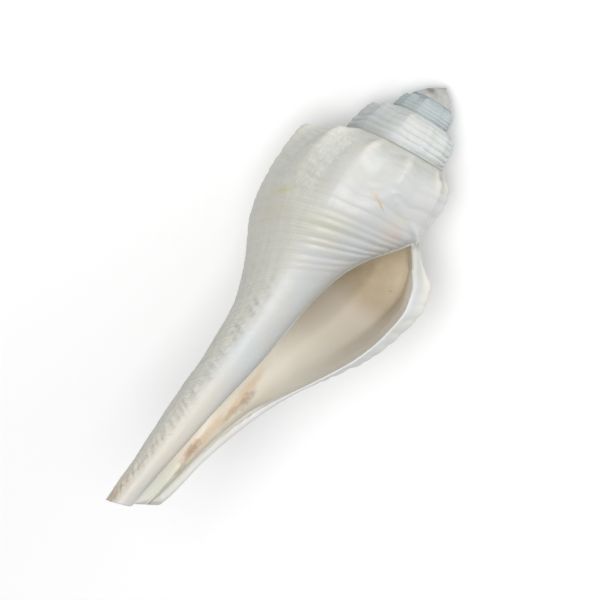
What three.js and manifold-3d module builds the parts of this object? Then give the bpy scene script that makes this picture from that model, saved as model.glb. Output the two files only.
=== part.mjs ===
// Spindle-shaped conch / whelk shell: one grown piece, a tube coiled round an axis.
// Axis frame while building: apex at the origin, axis running down -Z, mouth facing -Y,
// right-handed coil.  "Turn" t counts whorls back from the outer lip (t = 0 at the lip,
// t = -1 one whorl earlier).  The section tables are in units U along and across the axis.
import * as THREE from 'three';
import Module from 'manifold-3d';

const U = 0.28;              // millimetres per table unit (whole shell about 149 mm long)
const LIP_AZ = -18;          // azimuth of the outer lip, degrees from +X
const STEPS = 50;            // facets per whorl (five per knob)
const KNOBS = 10;            // shoulder knobs per whorl
const KNOB_PHASE = 0.05;     // turns from the lip to the last knob
const KNOB_RELIEF = 0.177;   // knob height, crest to trough, as a part of the shoulder radius
const T_START = -4.6;        // first turn of the spire
const T_DEEP = -0.80;        // how far back the mouth stays hollow
const GLAZE = 0.6;           // build-up of the inner wall inside the mouth, units
// Direction, in the axis frame, that points up when the shell lies at rest on a spire knob
// and two shoulder knobs of the last whorl, mouth upward.
const REST_UP = [-0.031416, -0.868919, -0.493956];

// Section tables: one row per station of the last whorls, shoulder ramp -> whorl side -> canal.
const T_ROW = [-1.3, -1.0, -0.8, -0.55, -0.3, -0.05, 0.0];
const H_ROW = [
  [54.5, 60, 66, 72, 90, 108, 122, 136, 152, 172, 205, 270, 340, 420],
  [68, 75, 83, 91, 112, 136, 154, 170, 190, 218, 255, 320, 390, 525],
  [78.5, 86, 94, 103, 128, 155, 178, 200, 224, 250, 285, 350, 440, 536],
  [92, 101, 111, 122, 155, 190, 215, 240, 265, 290, 330, 390, 460, 539],
  [112.5, 127, 142, 154, 180, 214, 243, 272, 302, 332, 370, 420, 475, 528],
  [137, 154, 171, 182, 202, 235, 267, 300, 334, 369, 405, 447, 488, 504],
  [143, 160, 177, 188, 208, 240, 272, 305, 340, 375, 410, 450, 485, 500]];
const R_ROW = [
  [38, 44, 51, 55, 58, 57, 50, 39, 29, 21, 16, 13, 10, 6],
  [49, 54, 60.5, 66, 72, 73, 65.5, 54.5, 41, 30, 23.5, 20.5, 13, 2.5],
  [51, 58, 67, 74, 80.5, 76, 68, 57, 46, 37, 30.5, 26.5, 24, 18],
  [53, 65, 79, 85.5, 89.5, 86, 78, 61.5, 48, 38, 31.5, 27.5, 23.5, 18],
  [60, 77, 94, 99.5, 103, 99.5, 91, 76, 59, 46.5, 37.5, 31.5, 27.5, 22],
  [69, 86, 101, 106.5, 111.5, 108.5, 99, 83, 65, 51.5, 42, 34, 29.5, 26],
  [71, 88, 103.5, 109, 113.5, 110, 100.5, 84, 66, 52.5, 42.5, 34.5, 30, 26.5]];
// Early whorls: (turn, shoulder radius); one section shape fitted between one suture and the next.
const SPIRE = [[-5.0, 4.0], [-4.55, 7.0], [-4.05, 11.0], [-3.8, 12.8], [-3.55, 14.6], [-3.3, 18.0],
  [-3.05, 21.6], [-2.55, 26.0], [-2.05, 37.0], [-1.55, 45.4]];
const SHAPE = [0.68, 0.83, 1.0, 1.07, 1.18, 1.22, 1.02, 0.80, 0.6, 0.43, 0.33, 0.26, 0.2, 0.12];
// Height of the suture at each turn.
const SUTURE = [[-5, 0], [-4.0, 0.4], [-3.8, 2.2], [-3.55, 6.5], [-3.05, 14.8], [-2.55, 22.5],
  [-2.05, 33.5], [-1.55, 45.5], [-1.3, 54.5], [-1.0, 68], [-0.8, 78.5], [-0.55, 92],
  [-0.3, 112.5], [-0.05, 137], [0, 143]];
// Free end of the canal round the last whorl, and lip thickness down the lip.
const CANAL_END = [[-1.0, 509], [-0.93, 516], [-0.8, 524], [-0.675, 530], [-0.55, 531],
  [-0.425, 526], [-0.3, 517], [-0.175, 508], [-0.05, 500], [0, 496]];
const LIP_WALL = [[140, 4], [160, 8], [172, 8], [180, 5.5], [195, 4], [215, 3.2], [250, 2.8],
  [300, 2.8], [330, 3.2], [345, 5], [360, 8], [375, 10.5], [400, 10.5], [445, 9.5], [480, 8.5], [560, 7]];
const DEEP_WALL = [[60, 4], [160, 5], [300, 5.5], [360, 7], [400, 8], [560, 7]];
// Bottom of the hollow round the last whorl (beyond the tip where the canal is open).
const HOLLOW_END = [[-0.85, 222], [-0.7, 256], [-0.55, 295], [-0.42, 335], [-0.30, 375],
  [-0.20, 430], [-0.14, 500], [-0.10, 565], [0.1, 565]];

// ---------- interpolation ----------
const slopesSmooth = (x, y) => { const n = x.length, m = new Array(n);
  const d = i => (y[i + 1] - y[i]) / (x[i + 1] - x[i]);
  m[0] = d(0); m[n - 1] = d(n - 2);
  for (let i = 1; i < n - 1; i++) { const a = x[i] - x[i - 1], b = x[i + 1] - x[i]; m[i] = (d(i - 1) * b + d(i) * a) / (a + b); }
  return m; };
const slopesMonotone = (x, y) => { const n = x.length, m = new Array(n).fill(0);
  const d = i => (y[i + 1] - y[i]) / (x[i + 1] - x[i]);
  m[0] = d(0); m[n - 1] = d(n - 2);
  for (let i = 1; i < n - 1; i++) { const a = d(i - 1), b = d(i);
    if (a * b > 0) { const ha = x[i] - x[i - 1], hb = x[i + 1] - x[i], w1 = 2 * hb + ha, w2 = hb + 2 * ha; m[i] = (w1 + w2) / (w1 / a + w2 / b); } }
  return m; };
const hermite = (x, y, m, q) => { let i = 0; while (i < x.length - 2 && q >= x[i + 1]) i++;
  const h = x[i + 1] - x[i], u = (q - x[i]) / h, u2 = u * u, u3 = u2 * u;
  return (2 * u3 - 3 * u2 + 1) * y[i] + (u3 - 2 * u2 + u) * h * m[i] + (3 * u2 - 2 * u3) * y[i + 1] + (u3 - u2) * h * m[i + 1]; };
const clamp = (v, a, b) => Math.min(b, Math.max(a, v));
const ramp = (a, b, x) => { const u = clamp((x - a) / (b - a), 0, 1); return u * u * (3 - 2 * u); };
const curve = (pairs) => { const x = pairs.map(p => p[0]), y = pairs.map(p => p[1]), m = slopesMonotone(x, y);
  return q => hermite(x, y, m, clamp(q, x[0], x[x.length - 1])); };
const sutureAt = curve(SUTURE), canalEnd = curve(CANAL_END), lipWall = curve(LIP_WALL),
  deepWall = curve(DEEP_WALL), hollowEnd = curve(HOLLOW_END);
const nextSuture = t => (t <= -1 ? sutureAt(t + 1) : 143 * Math.pow(2, t + 1));

// ---------- the whorl section at any turn ----------
const turns = [...SPIRE.map(s => s[0]), ...T_ROW];
// the tip of the spire is worn down to a plain cone
const spireRow = ([t, shoulder]) => {
  const a = Math.max(sutureAt(t), 0.2), b = nextSuture(t), worn = 1 - ramp(-3.75, -3.0, t);
  const H = H_ROW[0].map(h => a + (b - a) * (h - 54.5) / 58);
  return { H, R: H.map((h, k) => (1 - worn) * shoulder * SHAPE[k] + worn * 2.65 * Math.pow(h, 0.72)) }; };
const spire = SPIRE.map(spireRow);
const logH = [...spire.map(s => s.H), ...H_ROW].map(r => r.map(Math.log));
const logR = [...spire.map(s => s.R), ...R_ROW].map(r => r.map(Math.log));
const column = (rows, k) => rows.map(r => r[k]);
const slopeH = H_ROW[0].map((_, k) => slopesSmooth(turns, column(logH, k)));
const slopeR = H_ROW[0].map((_, k) => slopesSmooth(turns, column(logR, k)));
function section(t) {
  const H = slopeH.map((m, k) => Math.exp(hermite(turns, column(logH, k), m, t)));
  const R = slopeR.map((m, k) => Math.exp(hermite(turns, column(logR, k), m, t)));
  const x = [t < -3.7 ? 0 : 0.75 * H[0], ...H];
  const y = [t < -3.7 ? 0 : R[0] - 0.25 * H[0] * (R[1] - R[0]) / (H[1] - H[0]), ...R];
  const m = slopesMonotone(x, y);
  const lower = 10 * ramp(-0.68, -0.45, t) * (1 - ramp(-0.15, -0.02, t));   // knobs sit lower round the back
  const shoulder = 0.35 * H[1] + 0.65 * H[2] + lower, rs = 0.5 * (R[2] + R[3]), span = H[3] - H[1];
  const wave = Math.cos(2 * Math.PI * KNOBS * (t + KNOB_PHASE));
  const back = 1 - ramp(-0.16, 0, t);          // plainer just behind the lip
  const knob = (Math.pow(0.5 + 0.5 * wave, 1.6) - 0.32 - 0.12 * back) * (0.72 + 0.28 * back);
  const grow = ramp(-3.9, -3.0, t);
  return h => {
    const base = hermite(x, y, m, clamp(h, x[0], x[x.length - 1]));
    const d = (h - shoulder) / span;
    const across = d < 0 ? Math.exp(-d * d / 0.22) : Math.exp(-d * d / 1.3);
    return base + grow * KNOB_RELIEF * rs * knob * across;
  };
}

// ---------- mesh bookkeeping ----------
function Builder() {
  const pos = [], tri = [];
  return { pos, tri,
    vert(t, r, h) { const a = (LIP_AZ - 360 * t) * Math.PI / 180; pos.push(r * Math.cos(a) * U, r * Math.sin(a) * U, -h * U); return pos.length / 3 - 1; },
    face(a, b, c) { if (a !== b && b !== c && a !== c) tri.push(a, b, c); },
    quad(a, b, c, d) { this.face(a, b, c); this.face(a, c, d); } };
}

// ---------- the shell filled solid ----------
const UPPER = [0, 0.045, 0.10, 0.17, 0.24, 0.32, 0.42, 0.54, 0.68, 0.84, 1];
const LOWER = 20;
const n0 = Math.round((0 - T_START) * STEPS);
const B = Builder();
const apex = B.vert(T_START, 0, -1.8);
const cols = [];
for (let i = 0; i <= n0; i++) {
  const t = T_START + i / STEPS, r = section(t);
  const hs = sutureAt(t), hn = nextSuture(t);
  const prev = cols[i - STEPS];
  const top = prev ? prev.upper[UPPER.length - 1] : B.vert(t, r(Math.max(hs, 0.25)), Math.max(hs, 0.25));
  const rTop = prev ? prev.rLast : r(Math.max(hs, 0.25)), gap = rTop - r(Math.max(hs, 0.25));
  const fade = 0.07 * hs + 0.6;
  const at = h => Math.max(0.2, r(h) + gap * Math.exp(-(h - hs) / fade));
  const upper = [top]; let rLast = 0;
  const h0 = Math.max(hs, 0.25);
  for (let j = 1; j < UPPER.length; j++) { const h = h0 + (hn - h0) * UPPER[j]; rLast = at(h); upper.push(B.vert(t, rLast, h)); }
  const c = { t, upper, rLast, lower: null };
  if (t > -1 - 1e-9) {
    const he = canalEnd(t); c.lower = [upper[UPPER.length - 1]];
    for (let j = 1; j <= LOWER; j++) { const f = j / LOWER, h = hn + (he - hn) * f; c.lower.push(B.vert(t, at(h), h)); }
  }
  cols.push(c);
}
for (let i = 0; i < n0; i++) {
  const a = cols[i], b = cols[i + 1];
  for (let j = 0; j < UPPER.length - 1; j++) B.quad(a.upper[j], b.upper[j], b.upper[j + 1], a.upper[j + 1]);
  if (a.lower && b.lower) for (let j = 0; j < LOWER; j++) B.quad(a.lower[j], b.lower[j], b.lower[j + 1], a.lower[j + 1]);
  if (i < STEPS) B.face(apex, b.upper[0], a.upper[0]);
}
for (let j = 0; j < UPPER.length - 1; j++) B.face(apex, cols[0].upper[j], cols[0].upper[j + 1]);
// flat face in the plane of the lip, between the lip and the whorl one turn earlier
const inner = cols[n0 - STEPS].lower, outer = [...cols[n0].upper, ...cols[n0].lower.slice(1)];
{
  let i = 0, j = 0;
  while (i < inner.length - 1 || j < outer.length - 1) {
    const zi = i < inner.length - 1 ? -B.pos[3 * inner[i + 1] + 2] : Infinity, zj = j < outer.length - 1 ? -B.pos[3 * outer[j + 1] + 2] : Infinity;
    if (zi < zj) { B.face(inner[i], inner[i + 1], outer[j]); i++; } else { B.face(inner[i], outer[j + 1], outer[j]); j++; }
  }
}
// end of the canal
const tip = B.vert(-0.55, 4, 524);
const ring = cols.slice(n0 - STEPS).map(c => c.lower[LOWER]);
for (let i = 0; i < ring.length - 1; i++) B.face(tip, ring[i], ring[i + 1]);
B.face(tip, ring[ring.length - 1], ring[0]);

// ---------- the hollow behind the lip, running out down the canal ----------
const HO = 20;
const V = Builder();
const loops = [];
const vSteps = [];
for (let k = Math.round(T_DEEP * STEPS); k <= 3; k += k < -18 ? 2 : 1) vSteps.push(k / STEPS);
for (const t of vSteps) {
  const tc = Math.min(t, 0), out = section(tc), inn = section(t - 1);
  const mixv = ramp(0, 0.12, -t);
  const wall = h => (1 - mixv) * lipWall(h) + mixv * deepWall(h);
  const ro = h => out(h) - wall(h), ri = h => inn(h) + GLAZE;
  const hb = hollowEnd(t);
  let ht = sutureAt(tc) + 1; while (ht < hb && ro(ht) - ri(ht) < 1.2) ht += 0.25;
  const a = [], b = [];
  for (let k = 0; k <= HO; k++) {
    const f = k / HO, h = ht + (hb - ht) * (0.72 * f + 0.28 * (0.5 - 0.5 * Math.cos(Math.PI * f)));
    let o = ro(h), n = Math.min(ri(h), o - 0.8);
    const close = Math.max(0, (h - (hb - 26)) / 26), wgt = Math.sqrt(Math.max(0, 1 - close * close));
    const mid = 0.5 * (o + n), half = 0.5 * (o - n) * wgt;
    if (k === 0 || k === HO) { const v = V.vert(t, mid, h); a.push(v); b.push(v); }
    else { a.push(V.vert(t, mid + Math.max(half, 0.3), h)); b.push(V.vert(t, mid - Math.max(half, 0.3), h)); }
  }
  loops.push([...a, ...b.slice(1, HO).reverse()]);
}
for (let i = 0; i < loops.length - 1; i++) { const p = loops[i], q = loops[i + 1], n = p.length;
  for (let k = 0; k < n; k++) { const l = (k + 1) % n; V.quad(p[k], q[k], q[l], p[l]); } }
for (const [L, flip] of [[loops[0], false], [loops[loops.length - 1], true]]) {
  const a = L.slice(0, HO + 1), b = [L[0], ...L.slice(HO).reverse()];
  for (let k = 0; k < HO; k++) { if (flip) { V.face(a[k], b[k], b[k + 1]); V.face(a[k], b[k + 1], a[k + 1]); } else { V.face(a[k], b[k + 1], b[k]); V.face(a[k], a[k + 1], b[k + 1]); } }
}

// ---------- cut, attitude, output ----------
const wasm = await Module(); wasm.setup();
const solid = b => new wasm.Manifold(new wasm.Mesh({ numProp: 3, vertProperties: new Float32Array(b.pos), triVerts: new Uint32Array(b.tri) }));
let body = solid(B).subtract(solid(V));
const parts = body.decompose(); if (parts.length > 1) { parts.sort((p, q) => q.volume() - p.volume()); body = parts[0]; }
const out = body.getMesh();
const geo = new THREE.BufferGeometry();
const P = new Float32Array(out.numVert * 3);
for (let i = 0; i < out.numVert; i++) for (let k = 0; k < 3; k++) P[3 * i + k] = out.vertProperties[i * out.numProp + k];
const ez = new THREE.Vector3(...REST_UP).normalize();
const ex = new THREE.Vector3(0, 0, -1); ex.addScaledVector(ez, -ex.dot(ez)).normalize();
const ey = new THREE.Vector3().crossVectors(ez, ex);
const turn = new THREE.Matrix4().set(ex.x, ex.y, ex.z, 0, ey.x, ey.y, ey.z, 0, ez.x, ez.y, ez.z, 0, 0, 0, 0, 1);
geo.setAttribute('position', new THREE.BufferAttribute(P, 3));
geo.setIndex(new THREE.BufferAttribute(new Uint32Array(out.triVerts), 1));
geo.applyMatrix4(turn);
geo.computeBoundingBox();
const bb = geo.boundingBox;
geo.translate(-(bb.min.x + bb.max.x) / 2, -(bb.min.y + bb.max.y) / 2, -bb.min.z);
geo.computeVertexNormals();
const shell = new THREE.Mesh(geo, new THREE.MeshStandardMaterial({ color: 0xe9e6e0, roughness: 0.55 }));
shell.name = 'shell';
const root = new THREE.Group();
root.name = 'conch_shell';
root.add(shell);
export default root;
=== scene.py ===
import bpy, math
import numpy as np
from mathutils import Matrix, Vector, kdtree


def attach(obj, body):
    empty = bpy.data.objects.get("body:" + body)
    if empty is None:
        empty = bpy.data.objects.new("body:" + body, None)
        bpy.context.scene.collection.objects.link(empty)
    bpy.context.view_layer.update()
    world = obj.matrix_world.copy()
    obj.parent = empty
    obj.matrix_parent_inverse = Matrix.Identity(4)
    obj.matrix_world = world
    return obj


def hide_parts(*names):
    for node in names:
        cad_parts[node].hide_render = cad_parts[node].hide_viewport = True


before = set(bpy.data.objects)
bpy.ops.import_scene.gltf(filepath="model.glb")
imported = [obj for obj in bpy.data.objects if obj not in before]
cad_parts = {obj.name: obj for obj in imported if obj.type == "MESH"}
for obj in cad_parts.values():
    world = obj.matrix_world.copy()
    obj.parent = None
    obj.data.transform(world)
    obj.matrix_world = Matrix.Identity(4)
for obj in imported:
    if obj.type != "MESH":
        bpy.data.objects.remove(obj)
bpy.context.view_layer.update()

# --------------------------------------------------------------------------
# Spindle-shaped conch / whelk shell, grown as one tube round an axis.
# Axis frame: apex at the origin, axis down -Z, mouth facing -Y, units U.
# t counts whorls back from the outer lip (t = 0), h is depth below the apex.
# --------------------------------------------------------------------------
U = 0.00028
LIP_AZ = -18.0
KNOBS = 10
KNOB_PHASE = 0.05
T_START = -4.6
T_DEEP = -0.80

T_ROW = [-1.3, -1.0, -0.8, -0.55, -0.3, -0.05, 0.0]
H_ROW = np.array([
 [54.5, 60, 66, 72, 90, 108, 122, 136, 152, 172, 205, 270, 340, 420],
 [68, 75, 83, 91, 112, 136, 154, 170, 190, 218, 255, 320, 390, 525],
 [78.5, 86, 94, 103, 128, 155, 178, 200, 224, 250, 285, 350, 440, 536],
 [92, 101, 111, 122, 155, 190, 215, 240, 265, 290, 330, 390, 460, 539],
 [112.5, 127, 142, 154, 180, 214, 243, 272, 302, 332, 370, 420, 475, 528],
 [137, 154, 171, 182, 202, 235, 267, 300, 334, 369, 405, 447, 488, 504],
 [143, 160, 177, 188, 208, 240, 272, 305, 340, 375, 410, 450, 485, 500]], float)
R_ROW = np.array([
 [38, 44, 51, 55, 58, 57, 50, 39, 29, 21, 16, 13, 10, 6],
 [49, 54, 60.5, 66, 72, 73, 65.5, 54.5, 41, 30, 23.5, 20.5, 13, 2.5],
 [51, 58, 67, 74, 80.5, 76, 68, 57, 46, 37, 30.5, 26.5, 24, 18],
 [53, 65, 79, 85.5, 89.5, 86, 78, 61.5, 48, 38, 31.5, 27.5, 23.5, 18],
 [60, 77, 94, 99.5, 103, 99.5, 91, 76, 59, 46.5, 37.5, 31.5, 27.5, 22],
 [69, 86, 101, 106.5, 111.5, 108.5, 99, 83, 65, 51.5, 42, 34, 29.5, 26],
 [71, 88, 103.5, 109, 113.5, 110, 100.5, 84, 66, 52.5, 42.5, 34.5, 30, 26.5]], float)
# early whorls: (turn, shoulder radius); the same section fitted between one suture and the next
SPIRE = [(-5.0, 4.0), (-4.55, 7.0), (-4.05, 11.0), (-3.8, 12.8), (-3.55, 14.6), (-3.3, 18.0), (-3.05, 21.6), (-2.55, 26.0), (-2.05, 37.0), (-1.55, 45.4)]
SUTURE = [(-5, 0), (-4.0, 0.4), (-3.8, 2.2), (-3.55, 6.5), (-3.05, 14.8), (-2.55, 22.5), (-2.05, 33.5),
          (-1.55, 45.5), (-1.3, 54.5), (-1.0, 68), (-0.8, 78.5), (-0.55, 92), (-0.3, 112.5), (-0.05, 137), (0, 143)]
CANAL_END = [(-1.0, 509), (-0.93, 516), (-0.8, 524), (-0.675, 530), (-0.55, 531), (-0.425, 526), (-0.3, 517),
             (-0.175, 508), (-0.05, 500), (0, 496)]
LIP_WALL = [(140, 4), (160, 8), (172, 8), (180, 5.5), (195, 4), (215, 3.2), (250, 2.8), (300, 2.8), (330, 3.2),
            (345, 5), (360, 8), (375, 10.5), (400, 10.5), (445, 9.5), (480, 8.5), (560, 7)]
DEEP_WALL = [(60, 4), (160, 5), (300, 5.5), (360, 7), (400, 8), (560, 7)]
HOLLOW_END = [(-0.85, 222), (-0.7, 256), (-0.55, 295), (-0.42, 335), (-0.30, 375), (-0.20, 430), (-0.14, 500), (-0.10, 565), (0.1, 565)]
# number of spiral cords counted from the suture to each section station
CORDS = np.array([0, .8, 1.6, 2.3, 4.0, 5.6, 7.9, 10.3, 12.9, 15.5, 19, 26, 38, 50], float)


def mono_slopes(x, y):
    """Monotone cubic slopes along the last axis."""
    h = np.diff(x, axis=-1); d = np.diff(y, axis=-1) / h
    m = np.zeros_like(y)
    a, b = d[..., :-1], d[..., 1:]
    w1, w2 = 2 * h[..., 1:] + h[..., :-1], h[..., 1:] + 2 * h[..., :-1]
    ok = a * b > 0
    m[..., 1:-1] = np.where(ok, (w1 + w2) / (w1 / np.where(ok, a, 1) + w2 / np.where(ok, b, 1)), 0)
    m[..., 0] = d[..., 0]; m[..., -1] = d[..., -1]
    return m


def hermite_rows(x, y, m, q):
    """Row-wise cubic: x, y, m (n, k); q (n, p)."""
    i = np.clip((q[:, :, None] >= x[:, None, 1:-1]).sum(-1), 0, x.shape[1] - 2)
    t = np.take_along_axis
    x0, x1 = t(x, i, 1), t(x, i + 1, 1)
    h = x1 - x0; u = (q - x0) / h
    return ((2*u**3 - 3*u**2 + 1) * t(y, i, 1) + (u**3 - 2*u**2 + u) * h * t(m, i, 1)
            + (3*u**2 - 2*u**3) * t(y, i + 1, 1) + (u**3 - u**2) * h * t(m, i + 1, 1))


def curve(pairs):
    x = np.array([[p[0] for p in pairs]], float); y = np.array([[p[1] for p in pairs]], float)
    m = mono_slopes(x, y)
    def f(q):
        q = np.asarray(q, float)
        return hermite_rows(x, y, m, np.clip(q.reshape(1, -1), x[0, 0], x[0, -1])).reshape(q.shape)
    return f


suture_at, canal_end, lip_wall, deep_wall, hollow_end = map(curve, (SUTURE, CANAL_END, LIP_WALL, DEEP_WALL, HOLLOW_END))


def smooth(a, b, x):
    u = np.clip((x - a) / (b - a), 0, 1)                        # also falls when b < a
    return u * u * (3 - 2 * u)


def next_suture(t):
    return np.where(t <= -1 + 1e-9, suture_at(np.minimum(t + 1, 0)), 143 * 2.0 ** (t + 1))


TURNS = np.array([s[0] for s in SPIRE] + T_ROW)
FRACTION = (H_ROW[0] - 54.5) / 58.0
SHAPE = np.array([.68, .83, 1.0, 1.07, 1.18, 1.22, 1.02, .80, .6, .43, .33, .26, .2, .12])


def spire_row(t, shoulder):
    """Section of an early whorl; the tip of the spire is worn to a plain cone."""
    a = max(float(suture_at(np.array([t]))[0]), 0.2); b = float(next_suture(np.array([t]))[0])
    H = a + (b - a) * FRACTION
    worn = float(smooth(-3.0, -3.75, np.array([t]))[0])
    return H, (1 - worn) * shoulder * SHAPE + worn * 2.65 * H ** 0.72


ROWS = [spire_row(*s) for s in SPIRE]
LOG_H = np.log(np.array([r_[0] for r_ in ROWS] + list(H_ROW)))
LOG_R = np.log(np.array([r_[1] for r_ in ROWS] + list(R_ROW)))


def cr_slopes(x, y):
    m = np.zeros_like(y)
    h = np.diff(x)[:, None]; d = np.diff(y, axis=0) / h
    m[1:-1] = (d[:-1] * h[1:] + d[1:] * h[:-1]) / (h[:-1] + h[1:])
    m[0] = d[0]; m[-1] = d[-1]
    return m


M_H, M_R = cr_slopes(TURNS, LOG_H), cr_slopes(TURNS, LOG_R)


def stations(t):
    i = np.clip(np.searchsorted(TURNS, t, side="right") - 1, 0, len(TURNS) - 2)
    h = (TURNS[i + 1] - TURNS[i])[:, None]; u = ((t - TURNS[i])[:, None]) / h
    def ev(y, m):
        return ((2*u**3 - 3*u**2 + 1) * y[i] + (u**3 - 2*u**2 + u) * h * m[i]
                + (3*u**2 - 2*u**3) * y[i + 1] + (u**3 - u**2) * h * m[i + 1])
    return np.exp(ev(LOG_H, M_H)), np.exp(ev(LOG_R, M_R))


# smooth repeatable noise on (t, n): sums of sines with fixed, irregular frequencies
def wob(a, seed, f=1.0):
    r = np.random.default_rng(seed)
    out = np.zeros_like(a)
    for k in range(7):
        out += np.sin(a * f * (0.6 + 0.55 * k + r.random()) + r.random() * 6.283) / (1 + 0.35 * k)
    return out / 3.0


def hash_noise(t, n, ft, fn, seed):
    """Value noise on a lattice, periodic-free, smooth."""
    r = np.random.default_rng(seed)
    tab = r.random((64, 64)) * 2 - 1
    x, y = t * ft + 500, n * fn + 500
    xi, yi = np.floor(x).astype(int), np.floor(y).astype(int)
    fx, fy = x - xi, y - yi
    fx, fy = fx*fx*(3-2*fx), fy*fy*(3-2*fy)
    g = lambda i, j: tab[(i * 7 + j * 13) % 64, (j + i * 3) % 64]
    return ((g(xi, yi) * (1-fx) + g(xi+1, yi) * fx) * (1-fy) + (g(xi, yi+1) * (1-fx) + g(xi+1, yi+1) * fx) * fy)


def base_and_detail(t, h):
    """t (n,), h (n, m) -> radius of the plain form, relief, cord number, glaze mask."""
    H, R = stations(t)
    top = t < -3.7
    x0 = np.where(top, 0.0, 0.75 * H[:, 0])
    y0 = np.where(top, 0.0, R[:, 0] - 0.25 * H[:, 0] * (R[:, 1] - R[:, 0]) / (H[:, 1] - H[:, 0]))
    X = np.concatenate([x0[:, None], H], 1); Y = np.concatenate([y0[:, None], R], 1)
    q = np.clip(h, X[:, :1], X[:, -1:])
    base = hermite_rows(X, Y, mono_slopes(X, Y), q)
    # cord number
    i = np.clip((q[:, :, None] >= H[:, None, 1:-1]).sum(-1), 0, 12)
    ta = np.take_along_axis
    n = CORDS[i] + (q - ta(H, i, 1)) / (ta(H, i + 1, 1) - ta(H, i, 1)) * (CORDS[i + 1] - CORDS[i])
    # knobs and the folds below them
    lower = 10 * smooth(-0.68, -0.45, t) * (1 - smooth(-0.15, -0.02, t))   # knobs sit lower round the back
    sh = (0.35 * H[:, 1] + 0.65 * H[:, 2] + lower)[:, None]; rs = 0.5 * (R[:, 2] + R[:, 3])[:, None]; span = (H[:, 3] - H[:, 1])[:, None]
    tt = t[:, None]
    ph = KNOBS * (tt + KNOB_PHASE) + 0.10 * np.sin(2 * np.pi * 2.7 * tt)
    away = np.abs(((ph + 0.5) % 1.0) - 0.5)                     # 0 on a crest, 0.5 half way to the next
    tooth = np.exp(-(np.sqrt(away ** 2 + 0.0008) - 0.028) / 0.17)
    uneven = 1 + 0.18 * np.sin(11.3 * tt + 1.0)
    grow = smooth(-3.9, -3.0, tt)
    d = (h - sh) / span
    across = np.where(d < 0, np.exp(-(np.sqrt(d * d + 0.004) - 0.063) / 0.30), np.exp(-(np.sqrt(d * d + 0.004) - 0.063) / 1.0))
    back = smooth(0.0, -0.16, tt)                               # plainer just behind the lip
    knobs = grow * (0.135 + 0.055 * back) * rs * (tooth - 0.28 - 0.20 * back) * across * uneven
    fold = 0.5 - 2 * np.sqrt(away ** 2 + 0.004)                 # ridge on the crest, dip in the trough
    knobs = knobs + grow * 0.055 * rs * fold * smooth(-0.2, 0.9, d) * (1 - smooth(2.2, 5.5, d))
    relief = knobs.copy()
    # glaze: the smooth callus spread over the front of the last whorl
    f = np.clip(1 + tt, -0.2, 1.0)                              # turns since the plane of the lip
    edge = np.interp(n, [0, 2, 5, 19, 28, 38, 44, 50], [0.255, 0.262, 0.277, 0.284, 0.275, 0.262, 0.285, 0.31])
    lash = smooth(13, 19, n)
    edge = edge + 0.005 * hash_noise(n * 0 + 4, n, 1, 1.3, 40) + lash * (0.012 * hash_noise(n * 0 + 2, n, 1, 1.1, 41) + 0.010 * hash_noise(n * 0 + 1, n, 1, 2.7, 44))
    mouth = (tt > -1.2)
    blur = 0.012 + 0.034 * (1 - lash)
    glaze = (1 - smooth(edge - blur, edge + 0.5 * blur, f)) * smooth(1.2, 3.2, n) * mouth
    soft = (1 - smooth(edge - 0.03, edge + 0.01, f)) * smooth(1.2, 3.2, n) * mouth
    # spiral cords: rounded, with narrow grooves, of uneven strength and spacing
    r = np.random.default_rng(11); strength = 0.35 + 1.0 * r.random(400)
    nn = n + 0.16 * np.sin(n * 2.3 + 1.1) + 0.05 * np.sin(tt * 9 + n) + 0.16 * (0.5 - 2 * away) * (tt < -0.9) + 0.60 * (0.5 - 2 * away) * (1 - smooth(3.5, 6.5, n)) * smooth(-0.95, -0.88, tt)
    s = strength[np.clip(np.round(nn).astype(int) + 40, 0, 399)]
    g = np.abs(nn - np.round(nn))                               # distance to a groove
    early = 1 - smooth(-1.15, -0.95, tt)
    groove = np.exp(-(g / (0.17 + 0.08 * early)) ** 2)
    size = np.clip(rs / 80, 0.12, 1.3) ** 0.5
    drift = 0.72 + 0.40 * hash_noise(tt, n, 7, 0.4, 61)
    cord = (-1.15 * groove * s - 0.28 * np.cos(2 * np.pi * nn)) * size * drift
    fine = -0.30 * np.cos(2 * np.pi * 2 * nn + 0.8)             # thinner threads that take over away from the mouth
    side = smooth(-0.86, -0.70, tt) * (1 - smooth(-0.36, -0.16, tt)) * (tt > -0.9)
    strong = np.exp(-((n - 9.2) / 4.0) ** 4)                    # the bold cords crossing below the smooth front
    keep = 1 + soft * (1.45 * strong - 0.85) * smooth(3.4, 5.4, n)
    cord = cord * keep * (1 - 0.68 * side) + fine * side * size * (1 - 0.9 * soft)
    cord *= smooth(-3.7, -3.0, tt) * (1 + 0.10 * early)
    cord *= 1 - 0.55 * smooth(22, 34, n)
    # growth lines: fine steps across the cords, stronger away from the glaze
    g1, g2 = hash_noise(tt + 0.0022 * n, n, 64, 0.35, 3), hash_noise(tt + 0.0022 * n, n, 150, 0.9, 5)
    net = np.exp(-((f - edge - 0.055) / 0.05) ** 2) * np.exp(-((n - 4.2) / 3.2) ** 4) * mouth
    hatch = hash_noise(tt + 0.006 * n, n, 120, 1.1, 91) + 0.9 * hash_noise(tt - 0.004 * n, n, 45, 3.4, 93)
    gl = (g1 * 0.50 + g2 * 0.45 + 0.75 * net * hatch) * size * (0.6 + 0.4 * hash_noise(tt, n, 6, 0.2, 8)) * (1 - 0.88 * soft)
    slow = hash_noise(tt, n, 9, 0.22, 21) * 0.7 * size
    # ragged oblique growth wrinkles along the edge of the callus on the canal
    near = np.exp(-((f - edge - 0.018) / 0.030) ** 2) * lash * mouth
    wr = hash_noise(n * 1.0 + 22 * tt, n, 2.2, 0.0, 71) + 0.7 * hash_noise(n * 1.0 + 22 * tt, tt, 5.1, 20, 73)
    wrinkle = 1.35 * wr * near
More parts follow.
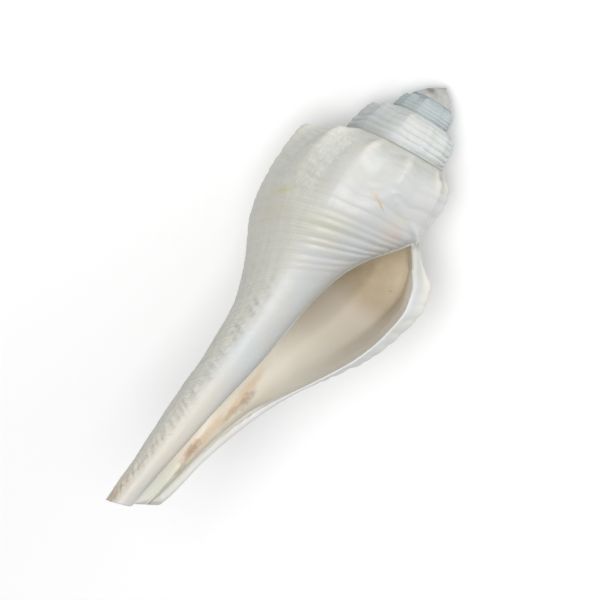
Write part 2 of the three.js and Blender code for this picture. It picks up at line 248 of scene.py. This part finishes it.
    # a small worm-like blister on the glaze
    az = np.radians(LIP_AZ - 360 * tt); x = base * np.cos(az); yy = base * np.sin(az)
    dx, dh = x - 26.5, h - 127.0
    ringd = np.hypot(dx, dh * 0.75); ang = np.arctan2(dh, dx)
    blister = 0.9 * np.exp(-((ringd - 4.6) / 1.3) ** 2) * (1 - smooth(1.7, 2.5, np.abs(ang + 1.2))) * (yy < 0) * mouth
    # the lip's attachment runs on over the whorl as a low ridge of callus
    hc = 138.5 + 0.45 * (x - 60)
    spur = 2.8 * np.exp(-((h - hc) / 3.4) ** 2) * smooth(47, 64, x) * (yy < 0) * mouth * (tt < -0.5)
    blister = blister + spur
    fine_parts = cord + gl + slow + wrinkle
    # everything smooths out towards the thickened rim of the lip
    rim = -np.minimum(tt, 0) * 2 * np.pi * base * (tt > -0.3) + 100 * (tt <= -0.3)
    fine_parts = fine_parts * (0.30 + 0.70 * smooth(3, 16, rim)) * (1 - 0.8 * smooth(300, 350, h) * (1 - smooth(0, 40, rim)))
    relief = relief + fine_parts + blister + 0.45 * glaze
    return base, relief, n, glaze, rs, knobs


# ---------- turn steps: even, with a few extra just behind the lip ----------
NE = 156
frac = np.unique(np.concatenate([-np.arange(NE) / NE, [-0.0008, -0.0018, -0.0031, -0.0046]]))  # in (-1, 0]
NS = len(frac)
allt = np.concatenate([frac - k for k in range(5, -1, -1)])
allt = allt[allt >= T_START - 1e-9]
MU = 68                       # steps down the part of a whorl that stays outside
ML = 236                      # further steps down the last whorl and canal
n0 = len(allt) - 1

verts, tris, attr = [], [], []


def azimuth(t):
    return np.radians(LIP_AZ - 360 * t)


def add(t, r, h, n, inside, glaze):
    a = azimuth(t)
    verts.append(np.stack([r * np.cos(a), r * np.sin(a), -h], -1))
    attr.append(np.stack([t, n, inside, glaze], -1))
    return sum(len(v) for v in verts[:-1])


# heights of the nodes in each column: even in cord number
hs_all = np.maximum(suture_at(allt), 0.25)
hn_all = next_suture(allt)
Hst, Rst = stations(allt)


def cord_no(i, h):
    return np.interp(h, Hst[i], CORDS)


def cord_h(i, n):
    return np.interp(n, CORDS, Hst[i])


body = allt >= -1 - 1e-9
first_body = int(np.argmax(body))
HU = np.zeros((n0 + 1, MU + 1)); HL = np.zeros((n0 + 1, ML + 1))
for i in range(n0 + 1):
    t = allt[i]
    HU[i] = hs_all[i] + (hn_all[i] - hs_all[i]) * np.linspace(0, 1, MU + 1) ** 1.08
    if body[i]:
        he = float(canal_end(np.array([t]))[0])
        a, b = cord_no(i, hn_all[i]), cord_no(i, he)
        HL[i] = np.interp(np.linspace(0, 1, ML + 1), [0, 1], [hn_all[i], he]) * 0.45 + 0.55 * (cord_h(i, np.linspace(a, b, ML + 1)) if he < Hst[i, -1] else np.linspace(hn_all[i], he, ML + 1))
        HL[i, 0] = hn_all[i]; HL[i, -1] = he

ALLH = np.concatenate([HU, HL[:, 1:]], 1)
base, relief, cn, gz, rs, knobs = base_and_detail(allt, np.where(ALLH > 0, ALLH, HU[:, -1:]))
r_plain = base + relief
# each whorl starts exactly on the one before it
gap = np.zeros(n0 + 1)
rr = r_plain.copy()
for i in range(n0 + 1):
    if i >= NS:
        target = rr[i - NS, MU]
        gap[i] = target - r_plain[i, 0]
        fade = 0.05 * hs_all[i] + 0.5
        rr[i] = r_plain[i] + gap[i] * np.exp(-(ALLH[i] - hs_all[i]) / fade)
        rr[i, 0] = target
rr = np.maximum(rr, 0.2)
# the outer edge of the lip is rounded over its own thickness
arc = -np.minimum(allt, 0)[:, None] * 2 * np.pi * rr
w0 = lip_wall(ALLH)
uu = np.clip(1 - arc / (0.55 * w0), 0, 1)
rr = np.where(allt[:, None] > -0.2, rr - 0.5 * w0 * (1 - np.sqrt(1 - np.minimum(uu, 0.999) ** 2)), rr)

# ---------- outside of the shell as one closed body ----------
P = []; A = []
def push(t, r, h, n, ins, g, k=0.0):
    P.append((r * math.cos(azimuth(t)), r * math.sin(azimuth(t)), -h)); A.append((t, n, ins, g, k)); return len(P) - 1


F = []
def face(a, b, c):
    if a != b and b != c and a != c: F.append((a, b, c))


apex = push(T_START, 0, -1.8, 0, 0, 0)
up_id = np.zeros((n0 + 1, MU + 1), int); lo_id = np.zeros((n0 + 1, ML + 1), int)
for i in range(n0 + 1):
    t = allt[i]
    up_id[i, 0] = up_id[i - NS, MU] if i >= NS else push(t, rr[i, 0], hs_all[i], cn[i, 0], 0, 0)
    for j in range(1, MU + 1):
        up_id[i, j] = push(t, rr[i, j], HU[i, j], cn[i, j], 0, gz[i, j], knobs[i, j] / rs[i, 0])
    if body[i]:
        lo_id[i, 0] = up_id[i, MU]
        for j in range(1, ML + 1):
            lo_id[i, j] = push(t, rr[i, MU + j], HL[i, j], cn[i, MU + j], 0, gz[i, MU + j], knobs[i, MU + j] / rs[i, 0])
for i in range(n0):
    a, b = up_id[i], up_id[i + 1]
    for j in range(MU):
        face(a[j], b[j], b[j + 1]); face(a[j], b[j + 1], a[j + 1])
    if body[i]:
        a, b = lo_id[i], lo_id[i + 1]
        for j in range(ML):
            face(a[j], b[j], b[j + 1]); face(a[j], b[j + 1], a[j + 1])
    if i < NS:
        face(apex, up_id[i + 1, 0], up_id[i, 0])
for j in range(MU):
    face(apex, up_id[0, j], up_id[0, j + 1])
inner = list(lo_id[n0 - NS]); outer = list(up_id[n0]) + list(lo_id[n0][1:])
i = j = 0
while i < len(inner) - 1 or j < len(outer) - 1:
    zi = -P[inner[i + 1]][2] if i < len(inner) - 1 else 1e9
    zj = -P[outer[j + 1]][2] if j < len(outer) - 1 else 1e9
    if zi < zj: face(inner[i], inner[i + 1], outer[j]); i += 1
    else: face(inner[i], outer[j + 1], outer[j]); j += 1
tip = push(-0.55, 4, 524, 70, 0, 0)
ring = [lo_id[k, ML] for k in range(n0 - NS, n0 + 1)]
for k in range(len(ring) - 1): face(tip, ring[k], ring[k + 1])
face(tip, ring[-1], ring[0])
OUT_P, OUT_F, OUT_A = np.array(P), np.array(F), np.array(A)

# ---------- the hollow ----------
HO = 46
vt = np.concatenate([allt[(allt >= T_DEEP - 1e-9)], [0.004, 0.012, 0.03, 0.05]])
vt = np.concatenate([vt[vt < -0.3][::2], vt[vt >= -0.3]])
P, A, F = [], [], []
loops = []
zero = vt * 0
for t in vt:
    tc = min(t, 0.0)
    hb = float(hollow_end(np.array([t]))[0])
    hh = np.arange(float(suture_at(np.array([tc]))[0]) + 1, hb, 0.5)
    def sides(h):
        h = np.asarray(h)[None, :]
        bo, ro_, no_, _, _, ko = base_and_detail(np.array([tc]), h)
        bi, ri_, ni_, gi_, _, ki = base_and_detail(np.array([t - 1]), h)
        mixv = smooth(0, 0.12, -t)
        wall = (1 - mixv) * lip_wall(h) * (1 - 0.30 * math.exp(-max(-t, 0) * 150)) + mixv * deep_wall(h)
        H_, R_ = stations(np.array([tc]))
        wall = wall + 1.4 * (1 - smooth(2.0, 4.0, no_)) * mixv
        return (bo + ko - wall)[0], (bi + ki + 1.3)[0], no_[0]
    o, nn, _ = sides(hh)
    ok = np.where(o - nn >= 1.2)[0]
    ht = hh[ok[0]]
    f = np.linspace(0, 1, HO + 1)
    h = ht + (hb - ht) * (0.72 * f + 0.28 * (0.5 - 0.5 * np.cos(np.pi * f)))
    o, nn, cnn = sides(h)
    nn = np.minimum(nn, o - 0.8)
    close = np.clip((h - (hb - 26)) / 26, 0, 1); wgt = np.sqrt(1 - close ** 2)
    top = np.clip((h - ht) / 9, 0, 1); wgt *= np.sqrt(np.clip(1 - (1 - top) ** 2, 0, 1)) * 0.6 + 0.4
    mid, half = 0.5 * (o + nn), np.maximum(0.5 * (o - nn) * wgt, 0.3)
    a, b = [], []
    for k in range(HO + 1):
        if k in (0, HO):
            v = push(t, mid[k], h[k], cnn[k], 1, 0); a.append(v); b.append(v)
        else:
            a.append(push(t, mid[k] + half[k], h[k], cnn[k], 1, 0)); b.append(push(t, mid[k] - half[k], h[k], cnn[k], 2, 0))
    loops.append(a + b[1:HO][::-1])
for p, q in zip(loops[:-1], loops[1:]):
    n_ = len(p)
    for k in range(n_):
        l = (k + 1) % n_
        face(p[k], q[k], q[l]); face(p[k], q[l], p[l])
for L, flip in ((loops[0], False), (loops[-1], True)):
    a = L[:HO + 1]; b = [L[0]] + L[HO:][::-1]
    for k in range(HO):
        if flip: face(a[k], b[k], b[k + 1]); face(a[k], b[k + 1], a[k + 1])
        else: face(a[k], b[k + 1], b[k]); face(a[k], a[k + 1], b[k + 1])
HOL_P, HOL_F, HOL_A = np.array(P), np.array(F), np.array(A)

# ---------- attitude: same as the CAD ----------
REST_UP = np.array([-0.031416, -0.868919, -0.493956])
ez = REST_UP / np.linalg.norm(REST_UP)
ex = np.array([0, 0, -1.0]); ex -= ex.dot(ez) * ez; ex /= np.linalg.norm(ex)
ey = np.cross(ez, ex)
TURN = np.array([ex, ey, ez])
SHIFT = np.array([-64.7787, -3.1669, 3.9420]) / 1000


def to_world(p):
    return (np.asarray(p) * U) @ TURN.T + SHIFT


def to_axis(p):
    return ((np.asarray(p) - SHIFT) @ TURN) / U


def make(name, P_, F_):
    me = bpy.data.meshes.new(name)
    me.from_pydata([tuple(p) for p in P_ * 0.01], [], [tuple(int(x) for x in f) for f in F_])
    me.update()
    ob = bpy.data.objects.new(name, me)
    bpy.context.scene.collection.objects.link(ob)
    return ob


solid = make("shell_body", OUT_P, OUT_F)
hollow = make("hollow", HOL_P, HOL_F)
mod = solid.modifiers.new("cut", "BOOLEAN")
mod.operation = "DIFFERENCE"; mod.object = hollow
mod.solver = "MANIFOLD" if "MANIFOLD" in [e.identifier for e in bpy.types.BooleanModifier.bl_rna.properties["solver"].enum_items] else "EXACT"
dg = bpy.context.evaluated_depsgraph_get()
me = bpy.data.meshes.new_from_object(solid.evaluated_get(dg))
for ob_ in (solid, hollow):
    old = ob_.data; bpy.data.objects.remove(ob_); bpy.data.meshes.remove(old)
co = np.zeros(len(me.vertices) * 3, np.float32); me.vertices.foreach_get("co", co); co = co.reshape(-1, 3).astype(float) * 100
print("shell triangles", len(me.polygons), "vertices", len(co))

# carry the growth coordinates over
kd = kdtree.KDTree(len(OUT_P) + len(HOL_P))
for k, p in enumerate(np.concatenate([OUT_P, HOL_P])): kd.insert(p, k)
kd.balance()
SRC = np.concatenate([OUT_A, HOL_A])
pick = np.array([kd.find(p)[1] for p in co])
dist = np.linalg.norm(co - np.concatenate([OUT_P, HOL_P])[pick], axis=1)
AT = SRC[pick]
cut = dist > 1e-3
# down the canal the cut edges are worn round: the columella runs softly into the groove
inside = np.where(cut, 0.0, np.minimum(AT[:, 2], 1))
E = np.zeros(len(me.edges) * 2, np.int32); me.edges.foreach_get("vertices", E); E = E.reshape(-1, 2)
deg = np.bincount(E.ravel(), minlength=len(co)).astype(float)
depth_h = -co[:, 2]
rim_ids = np.where(cut & (depth_h > 335) & (co[:, 1] < 4))[0]
kd2 = kdtree.KDTree(len(rim_ids))
for k in rim_ids: kd2.insert(co[k], int(k))
kd2.balance()
wear = np.zeros(len(co))
for k in np.where((depth_h > 325) & (co[:, 1] < 8))[0]: wear[k] = kd2.find(co[k])[2]
wear = np.where((depth_h > 325) & (co[:, 1] < 8), smooth(6.5, 2.5, wear), 0.0) * smooth(335, 365, depth_h) * smooth(508, 488, depth_h)
left_side = smooth(0, 5, np.interp(depth_h, [334, 376, 410, 465, 503, 540], [32, 24, 16.5, 11, 8.6, 8]) - co[:, 0])
wear *= 0.35 + 0.65 * left_side


def neighbours(v):
    return (np.bincount(E[:, 0], v[E[:, 1]], len(v)) + np.bincount(E[:, 1], v[E[:, 0]], len(v))) / deg


plain = co.copy()
for k in range(45):
    for a_ in range(3): co[:, a_] += 0.7 * wear * (neighbours(co[:, a_]) - co[:, a_])
    inside += 0.8 * wear * (neighbours(inside) - inside)
moved = co - plain; far = np.linalg.norm(moved, axis=1)
co = plain + moved * np.minimum(1, 3.0 / np.maximum(far, 1e-6))[:, None]          # never more than 0.84 mm
print("wear: vertices", int((wear > 0.1).sum()), "largest move", float(np.linalg.norm(co - plain, axis=1).max()))
shell = bpy.data.objects.new("shell_body", me); bpy.context.scene.collection.objects.link(shell)
world = to_world(co)
world[:, 2] -= world[:, 2].min()          # settle on the floor
me.vertices.foreach_set("co", world.astype(np.float32).ravel()); me.update()


def put(name, values, kind="FLOAT"):
    a = me.attributes.new(name, kind, "POINT")
    a.data.foreach_set("vector" if kind == "FLOAT_VECTOR" else "value", np.asarray(values, np.float32).ravel())


put("axis", co, "FLOAT_VECTOR")
put("turn", AT[:, 0]); put("cord", AT[:, 1]); put("inside", inside); put("glaze", AT[:, 3]); put("knob", AT[:, 4])
me.shade_smooth()
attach(shell, "root"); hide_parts("shell")

# ---------- material ----------
def lin(r, g, b):
    f = lambda c: (c / 255 / 12.92) if c / 255 <= 0.04045 else ((c / 255 + 0.055) / 1.055) ** 2.4
    return (f(r), f(g), f(b), 1)


mat = bpy.data.materials.new("shell_aragonite"); mat.use_nodes = True
me.materials.clear(); me.materials.append(mat)
nt = mat.node_tree; N = nt.nodes; K = nt.links
bsdf = N["Principled BSDF"]


def node(kind, **kw):
    n_ = N.new(kind)
    for k, v in kw.items(): setattr(n_, k, v)
    return n_


def feed(sock, v):
    if isinstance(v, bpy.types.NodeSocket): K.new(v, sock)
    else: sock.default_value = v


def att(name, vec=False):
    n_ = node("ShaderNodeAttribute", attribute_name=name)
    return n_.outputs["Vector" if vec else "Fac"]


def mth(op, a, b=0.0, c=None):
    n_ = node("ShaderNodeMath", operation=op)
    feed(n_.inputs[0], a); feed(n_.inputs[1], b)
    if c is not None: feed(n_.inputs[2], c)
    return n_.outputs[0]


def rng(v, a, b, c=0.0, d=1.0, kind="SMOOTHSTEP"):
    n_ = node("ShaderNodeMapRange", interpolation_type=kind)
    feed(n_.inputs["Value"], v); feed(n_.inputs["From Min"], a); feed(n_.inputs["From Max"], b); feed(n_.inputs["To Min"], c); feed(n_.inputs["To Max"], d)
    return n_.outputs["Result"]


def mix(f, a, b, kind="MIX"):
    n_ = node("ShaderNodeMix", data_type="RGBA", blend_type=kind)
    feed(n_.inputs["Factor"], f); feed(n_.inputs["A"], a); feed(n_.inputs["B"], b)
    return n_.outputs["Result"]


def xyz(x, y, z):
    n_ = node("ShaderNodeCombineXYZ")
    for s_, v in zip(n_.inputs, (x, y, z)): feed(s_, v)
    return n_.outputs[0]


def noise(vec, scale, detail=2.0, rough=0.5):
    n_ = node("ShaderNodeTexNoise"); feed(n_.inputs["Vector"], vec)
    n_.inputs["Scale"].default_value = scale; n_.inputs["Detail"].default_value = detail; n_.inputs["Roughness"].default_value = rough
    return n_.outputs["Fac"]


AX = att("axis", True); TURNA = att("turn"); CORD = att("cord"); INS = att("inside"); GLZ = att("glaze"); KNOB = att("knob")
sep = node("ShaderNodeSeparateXYZ"); K.new(AX, sep.inputs[0]); AXX, AXY, AXZ = sep.outputs
HH = mth("MULTIPLY", AXZ, -1.0)
FRONT = rng(AXY, -2.0, 2.0, 1.0, 0.0)


def blob(cx, ch, wx, wh, slant=0.0, soft=0.6, wobble=0.35, scale=0.25):
    """Soft irregular patch on the mouth side, centred at (cx, ch) across and down the axis."""
    dx = mth("SUBTRACT", AXX, cx); dh = mth("SUBTRACT", HH, ch)
    dh = mth("SUBTRACT", dh, mth("MULTIPLY", dx, slant))
    q = mth("SQRT", mth("ADD", mth("POWER", mth("ABSOLUTE", mth("DIVIDE", dx, wx)), 2.0), mth("POWER", mth("ABSOLUTE", mth("DIVIDE", dh, wh)), 2.0)))
    q = mth("ADD", q, mth("MULTIPLY", mth("SUBTRACT", noise(AX, scale, 3.0), 0.5), wobble * 2))
    return rng(q, 1.0 - soft, 1.0 + soft * 0.3, 1.0, 0.0)


# growth-space coordinates: streaks run down the axis, bands run round it
streak = noise(xyz(mth("MULTIPLY", mth("ADD", TURNA, mth("MULTIPLY", CORD, 0.0022)), 90.0), mth("MULTIPLY", CORD, 0.10), 0.0), 1.0, 3.0, 0.6)
streak_fine = noise(xyz(mth("MULTIPLY", mth("ADD", TURNA, mth("MULTIPLY", CORD, 0.0022)), 330.0), mth("MULTIPLY", CORD, 0.22), 3.0), 1.0, 2.0, 0.6)
cloud = noise(AX, 0.028, 4.0, 0.55)
cloud2 = noise(AX, 0.075, 4.0, 0.6)

# outside colour
ext = mix(rng(cloud, 0.35, 0.7), lin(214, 216, 217), lin(213, 211, 203))
ext = mix(mth("MULTIPLY", rng(cloud2, 0.5, 0.75), 0.35), ext, lin(202, 202, 194))
# olive-grey on the left and back of the last whorl: partly the shell's colour, partly painted shade on the side away
# from the key light
side = mth("MULTIPLY", rng(TURNA, -0.86, -0.70), rng(TURNA, -0.12, -0.30))
ext = mix(mth("MULTIPLY", side, 0.70), ext, lin(204, 205, 195))
spire = rng(TURNA, -1.55, -2.3)
ext = mix(mth("MULTIPLY", spire, 0.75), ext, lin(194, 202, 203))
# grooves hold a little grey-green
tri = mth("ABSOLUTE", mth("SUBTRACT", mth("FRACT", CORD), 0.5))          # 0.5 in a groove
gro = mth("MULTIPLY", rng(tri, 0.30, 0.47), mth("SUBTRACT", 1.0, mth("MULTIPLY", GLZ, 0.8)))
gro = mth("MULTIPLY", gro, mth("MULTIPLY", rng(TURNA, -0.01, -0.07), mth("SUBTRACT", 1.0, mth("MULTIPLY", side, 0.7))))
ext = mix(mth("MULTIPLY", gro, rng(cloud2, 0.3, 0.7, 0.12, 0.42)), ext, lin(176, 180, 172))
ext = mix(mth("MULTIPLY", mth("MULTIPLY", gro, spire), 0.50), ext, lin(150, 164, 167))
# growth streaks
ext = mix(mth("MULTIPLY", rng(streak, 0.45, 0.75), mth("SUBTRACT", 0.34, mth("MULTIPLY", GLZ, 0.26))), ext, lin(196, 196, 186))
netm = mth("MULTIPLY", rng(TURNA, -0.735, -0.70), mth("MULTIPLY", rng(TURNA, -0.56, -0.64), rng(CORD, 7.5, 5.5)))
hat = noise(xyz(mth("MULTIPLY", mth("ADD", TURNA, mth("MULTIPLY", CORD, 0.006)), 230.0), mth("MULTIPLY", CORD, 3.2), 0.0), 1.0, 2.0, 0.6)
ext = mix(mth("MULTIPLY", mth("MULTIPLY", rng(hat, 0.48, 0.66), netm), 0.40), ext, lin(176, 184, 181))
ext = mix(mth("MULTIPLY", mth("MULTIPLY", rng(hat, 0.46, 0.32), netm), 0.40), ext, lin(228, 231, 228))
ext = mix(mth("MULTIPLY", rng(streak_fine, 0.5, 0.8), mth("SUBTRACT", 0.26, mth("MULTIPLY", GLZ, 0.22))), ext, lin(226, 226, 221))
# knob tips are worn cream
ext = mix(mth("MULTIPLY", mth("MULTIPLY", rng(KNOB, -0.05, 0.08), rng(TURNA, -1.25, -1.1)), 0.60), ext, lin(232, 227, 214))
# darker olive on the ramp between the knobs: partly the shell's colour, partly painted shade in the troughs
ramp_ = mth("MULTIPLY", rng(CORD, 2.6, 0.6), rng(TURNA, -2.2, -1.4))
ramp_ = mth("MULTIPLY", ramp_, rng(KNOB, 0.04, -0.01))
ext = mix(mth("MULTIPLY", ramp_, 0.55), ext, lin(184, 186, 174))
# dark line along the suture: partly stain, partly painted shadow in the crease
sut = rng(CORD, 0.42, 0.05)
ext = mix(mth("MULTIPLY", sut, 0.75), ext, lin(140, 136, 124))
# glaze
glz = mix(rng(cloud, 0.35, 0.7), lin(213, 217, 219), lin(216, 216, 212))
ext = mix(mth("MULTIPLY", GLZ, 0.7), ext, glz)
# apex cap
cap = rng(TURNA, -3.35, -3.75)
ext = mix(mth("MULTIPLY", cap, 0.9), ext, mix(rng(cloud2, 0.4, 0.65), lin(185, 185, 180), lin(172, 170, 165)))
ext = mix(mth("MULTIPLY", blob(-11.5, 10.5, 10.0, 5.0, 0.25, 0.9, 0.7, 0.30), 0.85), ext, lin(122, 114, 110))
# stains, each on the mouth side
def stain(c, *a, amount=0.5, **k):
    global ext
    ext = mix(mth("MULTIPLY", mth("MULTIPLY", blob(*a, **k), FRONT), amount), ext, lin(*c))


stain((214, 190, 152), 11.0, 138.0, 9.0, 3.6, slant=0.10, amount=0.55, soft=1.0)
stain((212, 182, 136), 19.5, 141.5, 8.0, 1.4, slant=0.42, amount=0.80, wobble=0.2, soft=0.8)
stain((214, 210, 186), 46.0, 137.0, 13.0, 5.0, slant=-0.1, amount=0.45, soft=1.0)
stain((222, 205, 188), 45.0, 153.0, 13.0, 11.0, amount=0.55, soft=1.0)
stain((224, 200, 190), 50.0, 151.0, 6.0, 7.0, amount=0.35, soft=1.0)
stain((203, 203, 162), -66.0, 184.0, 10.0, 6.0, slant=-0.9, amount=0.80, soft=1.0)
stain((214, 211, 186), -12.0, 190.0, 30.0, 22.0, slant=-0.3, amount=0.65, soft=1.0)
stain((218, 213, 196), -6.0, 206.0, 28.0, 9.0, slant=-0.3, amount=0.50, soft=1.0)
stain((204, 196, 172), -62.0, 205.0, 16.0, 22.0, amount=0.40, soft=1.0)
stain((218, 209, 194), -10.0, 229.0, 20.0, 12.0, amount=0.40, soft=1.0)
stain((222, 208, 186), -14.0, 508.0, 14.0, 30.0, amount=0.60, soft=1.0)
stain((202, 178, 146), -17.0, 524.0, 7.0, 10.0, amount=0.65, soft=1.0)
stain((224, 216, 200), -1.0, 432.0, 21.0, 84.0, amount=0.75, soft=0.8)

# the mouth-left side of the spire is painted darkest: a slate blue-grey tint plus painted shade on the side turned from
# the key light
ext = mix(mth("MULTIPLY", mth("MULTIPLY", rng(AXX, 0.0, -34.0), rng(TURNA, -1.05, -1.4)), mth("MULTIPLY", rng(TURNA, -3.4, -3.2), 0.45)), ext, lin(146, 158, 159))
ext = mix(mth("MULTIPLY", rng(TURNA, -1.9, -2.3), rng(TURNA, -3.6, -3.4, 0.0, 0.50)), ext, lin(160, 173, 175))
# overall tone; the left and back side gets the darkest factor, painted shade on the side away from the key light
tone = mix(side, (0.745, 0.745, 0.745, 1), (0.83, 0.83, 0.83, 1))
tone = mix(rng(TURNA, -0.14, -0.03), tone, (0.89, 0.89, 0.895, 1))
tone = mix(rng(TURNA, -1.0, -1.12), tone, (0.87, 0.87, 0.87, 1))
ext = mix(1.0, ext, tone, "MULTIPLY")

# inside colour: tan deep down, partly the shell's colour and partly painted shade of the hollow, paler towards the lip,
# orange down the canal
depth = rng(TURNA, 0.0, -0.30, 0.0, 1.0, "LINEAR")
inn = mix(rng(depth, 0.0, 0.10), lin(236, 235, 230), lin(240, 237, 229))
inn = mix(rng(depth, 0.08, 0.45), inn, lin(237, 230, 217))
inn = mix(rng(depth, 0.4, 1.0), inn, lin(235, 223, 205))
# darkest tan high in the hollow: tan colour deepened with painted shade of the deep interior
inn = mix(mth("MULTIPLY", mth("MULTIPLY", rng(HH, 234.0, 202.0), rng(depth, 0.2, 0.6)), 0.85), inn, lin(206, 189, 158))
inn = mix(mth("MULTIPLY", rng(HH, 235.0, 320.0), 0.6), inn, lin(224, 222, 212))
# paler patch on the columella side of the mouth: painted light over the shade the columella casts there
inn = mix(mth("MULTIPLY", mth("MULTIPLY", rng(AXX, 66.0, 28.0), mth("MULTIPLY", rng(HH, 190.0, 225.0), rng(HH, 345.0, 290.0, 0.45, 1.0))), 0.40), inn, lin(243, 238, 227))
inn = mix(mth("MULTIPLY", rng(cloud2, 0.4, 0.7), 0.22), inn, lin(231, 222, 205))
mid_ = mth("SUBTRACT", 29.0, mth("MULTIPLY", mth("MAXIMUM", mth("SUBTRACT", HH, 380.0), 0.0), 0.13))   # line of the streak across the canal
mid_ = mth("SUBTRACT", mid_, 3.3)
mid_ = mth("ADD", mid_, mth("MULTIPLY", mth("SUBTRACT", noise(AX, 0.06, 3.0), 0.5), 8.0))
can = rng(mth("ABSOLUTE", mth("SUBTRACT", AXX, mid_)), 1.0, 6.5, 1.0, 0.0)
can = mth("MULTIPLY", can, mth("MULTIPLY", rng(HH, 318.0, 350.0), rng(HH, 470.0, 425.0)))
inn = mix(mth("MULTIPLY", can, mth("MULTIPLY", rng(noise(AX, 0.045, 3.0), 0.30, 0.62, 0.45, 1.0), 0.70)), inn, lin(212, 188, 158))
inn = mix(mth("MULTIPLY", rng(HH, 440.0, 480.0), 0.7), inn, lin(208, 210, 200))
for cx, ch, wx, wh, am in ((31.0, 366.0, 5.0, 16.0, 0.62), (27.0, 388.0, 3.4, 14.0, 0.35), (18.0, 440.0, 4.2, 18.0, 0.68), (21.0, 462.0, 2.6, 12.0, 0.45), (80.0, 188.0, 1.2, 1.2, 0.5)):
    inn = mix(mth("MULTIPLY", blob(cx, ch, wx, wh, -0.5, 0.9, 0.7, 0.22), am), inn, lin(158, 126, 104))
col = mix(INS, ext, inn)
# sparse pits and specks
vor = node("ShaderNodeTexVoronoi"); K.new(AX, vor.inputs["Vector"]); vor.inputs["Scale"].default_value = 0.09
speck = mth("MULTIPLY", rng(vor.outputs["Distance"], 0.10, 0.04), rng(noise(AX, 0.05, 1.0), 0.55, 0.62))
col = mix(mth("MULTIPLY", speck, mth("SUBTRACT", 0.30, mth("MULTIPLY", GLZ, 0.2))), col, lin(165, 155, 138))
K.new(col, bsdf.inputs["Base Color"])

shiny = mth("MAXIMUM", mth("MULTIPLY", GLZ, 0.85), mth("MULTIPLY", INS, 0.9))
rough = mth("SUBTRACT", rng(cloud2, 0.3, 0.7, 0.52, 0.64), mth("MULTIPLY", shiny, 0.22))
K.new(rough, bsdf.inputs["Roughness"])
bsdf.inputs["IOR"].default_value = 1.53

# bump: threads between the cords, growth lines, grain
thread = mth("COSINE", mth("MULTIPLY", CORD, 2 * math.pi * 3))
hgt = mth("MULTIPLY", thread, mth("MULTIPLY", mth("MULTIPLY", mth("SUBTRACT", 1.0, mth("MULTIPLY", GLZ, 0.9)), mth("ADD", 0.15, side)), 0.16))
hgt = mth("ADD", hgt, mth("MULTIPLY", streak_fine, mth("SUBTRACT", 0.9, mth("MULTIPLY", GLZ, 0.75))))
hgt = mth("ADD", hgt, mth("MULTIPLY", streak, 0.5))
hgt = mth("MULTIPLY", hgt, mth("SUBTRACT", 1.0, mth("MULTIPLY", INS, 0.8)))
hgt = mth("ADD", hgt, mth("MULTIPLY", noise(AX, 0.9, 4.0, 0.65), 0.22))
bump = node("ShaderNodeBump"); bump.inputs["Strength"].default_value = 0.55; bump.inputs["Distance"].default_value = 0.00028
K.new(hgt, bump.inputs["Height"]); K.new(bump.outputs[0], bsdf.inputs["Normal"])

# ---------- floor, light, camera ----------
fm = bpy.data.meshes.new("floor"); s = 3.0
fm.from_pydata([(-s, -s, 0), (s, -s, 0), (s, s, 0), (-s, s, 0)], [], [(0, 1, 2, 3)])
floor = bpy.data.objects.new("floor", fm); bpy.context.scene.collection.objects.link(floor)
fmat = bpy.data.materials.new("floor_mat"); fmat.use_nodes = True
fb = fmat.node_tree.nodes["Principled BSDF"]; fb.inputs["Base Color"].default_value = (0.96, 0.96, 0.96, 1); fb.inputs["Roughness"].default_value = 0.9
fm.materials.append(fmat)

world_ = bpy.data.worlds.new("w"); bpy.context.scene.world = world_; world_.use_nodes = True
world_.node_tree.nodes["Background"].inputs[0].default_value = (1, 1, 1, 1)
world_.node_tree.nodes["Background"].inputs[1].default_value = 0.52
bpy.context.scene.view_settings.view_transform = "Standard"

TAU = math.radians(5.0)
Xa = np.array([1.0, 0, 0]); Ua = np.array([0, -math.sin(TAU), math.cos(TAU)])
cr = TURN @ (0.79342 * Xa + 0.60868 * Ua); cu = TURN @ (-0.60868 * Xa + 0.79342 * Ua); cb = np.cross(cr, cu)
target = to_world(12.9 * Xa - 256 * Ua)
DIST = 1.1
cam = bpy.data.cameras.new("camera"); camo = bpy.data.objects.new("camera", cam)
bpy.context.scene.collection.objects.link(camo)
loc = target + cb * DIST
camo.matrix_world = Matrix(((cr[0], cu[0], cb[0], loc[0]), (cr[1], cu[1], cb[1], loc[1]), (cr[2], cu[2], cb[2], loc[2]), (0, 0, 0, 1)))
cam.sensor_width = 36; cam.lens = 36 * DIST / (600 * U)
cam.clip_end = 20
bpy.context.scene.camera = camo


def area(name, direction, dist, size, power, color=(1, 1, 1)):
    L = bpy.data.lights.new(name, "AREA"); L.size = size; L.energy = power; L.color = color
    o = bpy.data.objects.new(name, L); bpy.context.scene.collection.objects.link(o)
    d = np.array(direction, float); d /= np.linalg.norm(d)
    o.location = Vector(d * dist)
    o.rotation_euler = Vector(-d).to_track_quat("-Z", "Y").to_euler()
    return o


# directions given in the picture's own axes: right, up, towards the viewer
def pic(r, u, f):
    return r * cr + u * cu + f * cb


area("key", pic(0.95, 0.60, 0.72), 1.2, 0.70, 7.4)
area("front", pic(-0.16, -0.14, 1.0), 1.5, 0.8, 12.5)
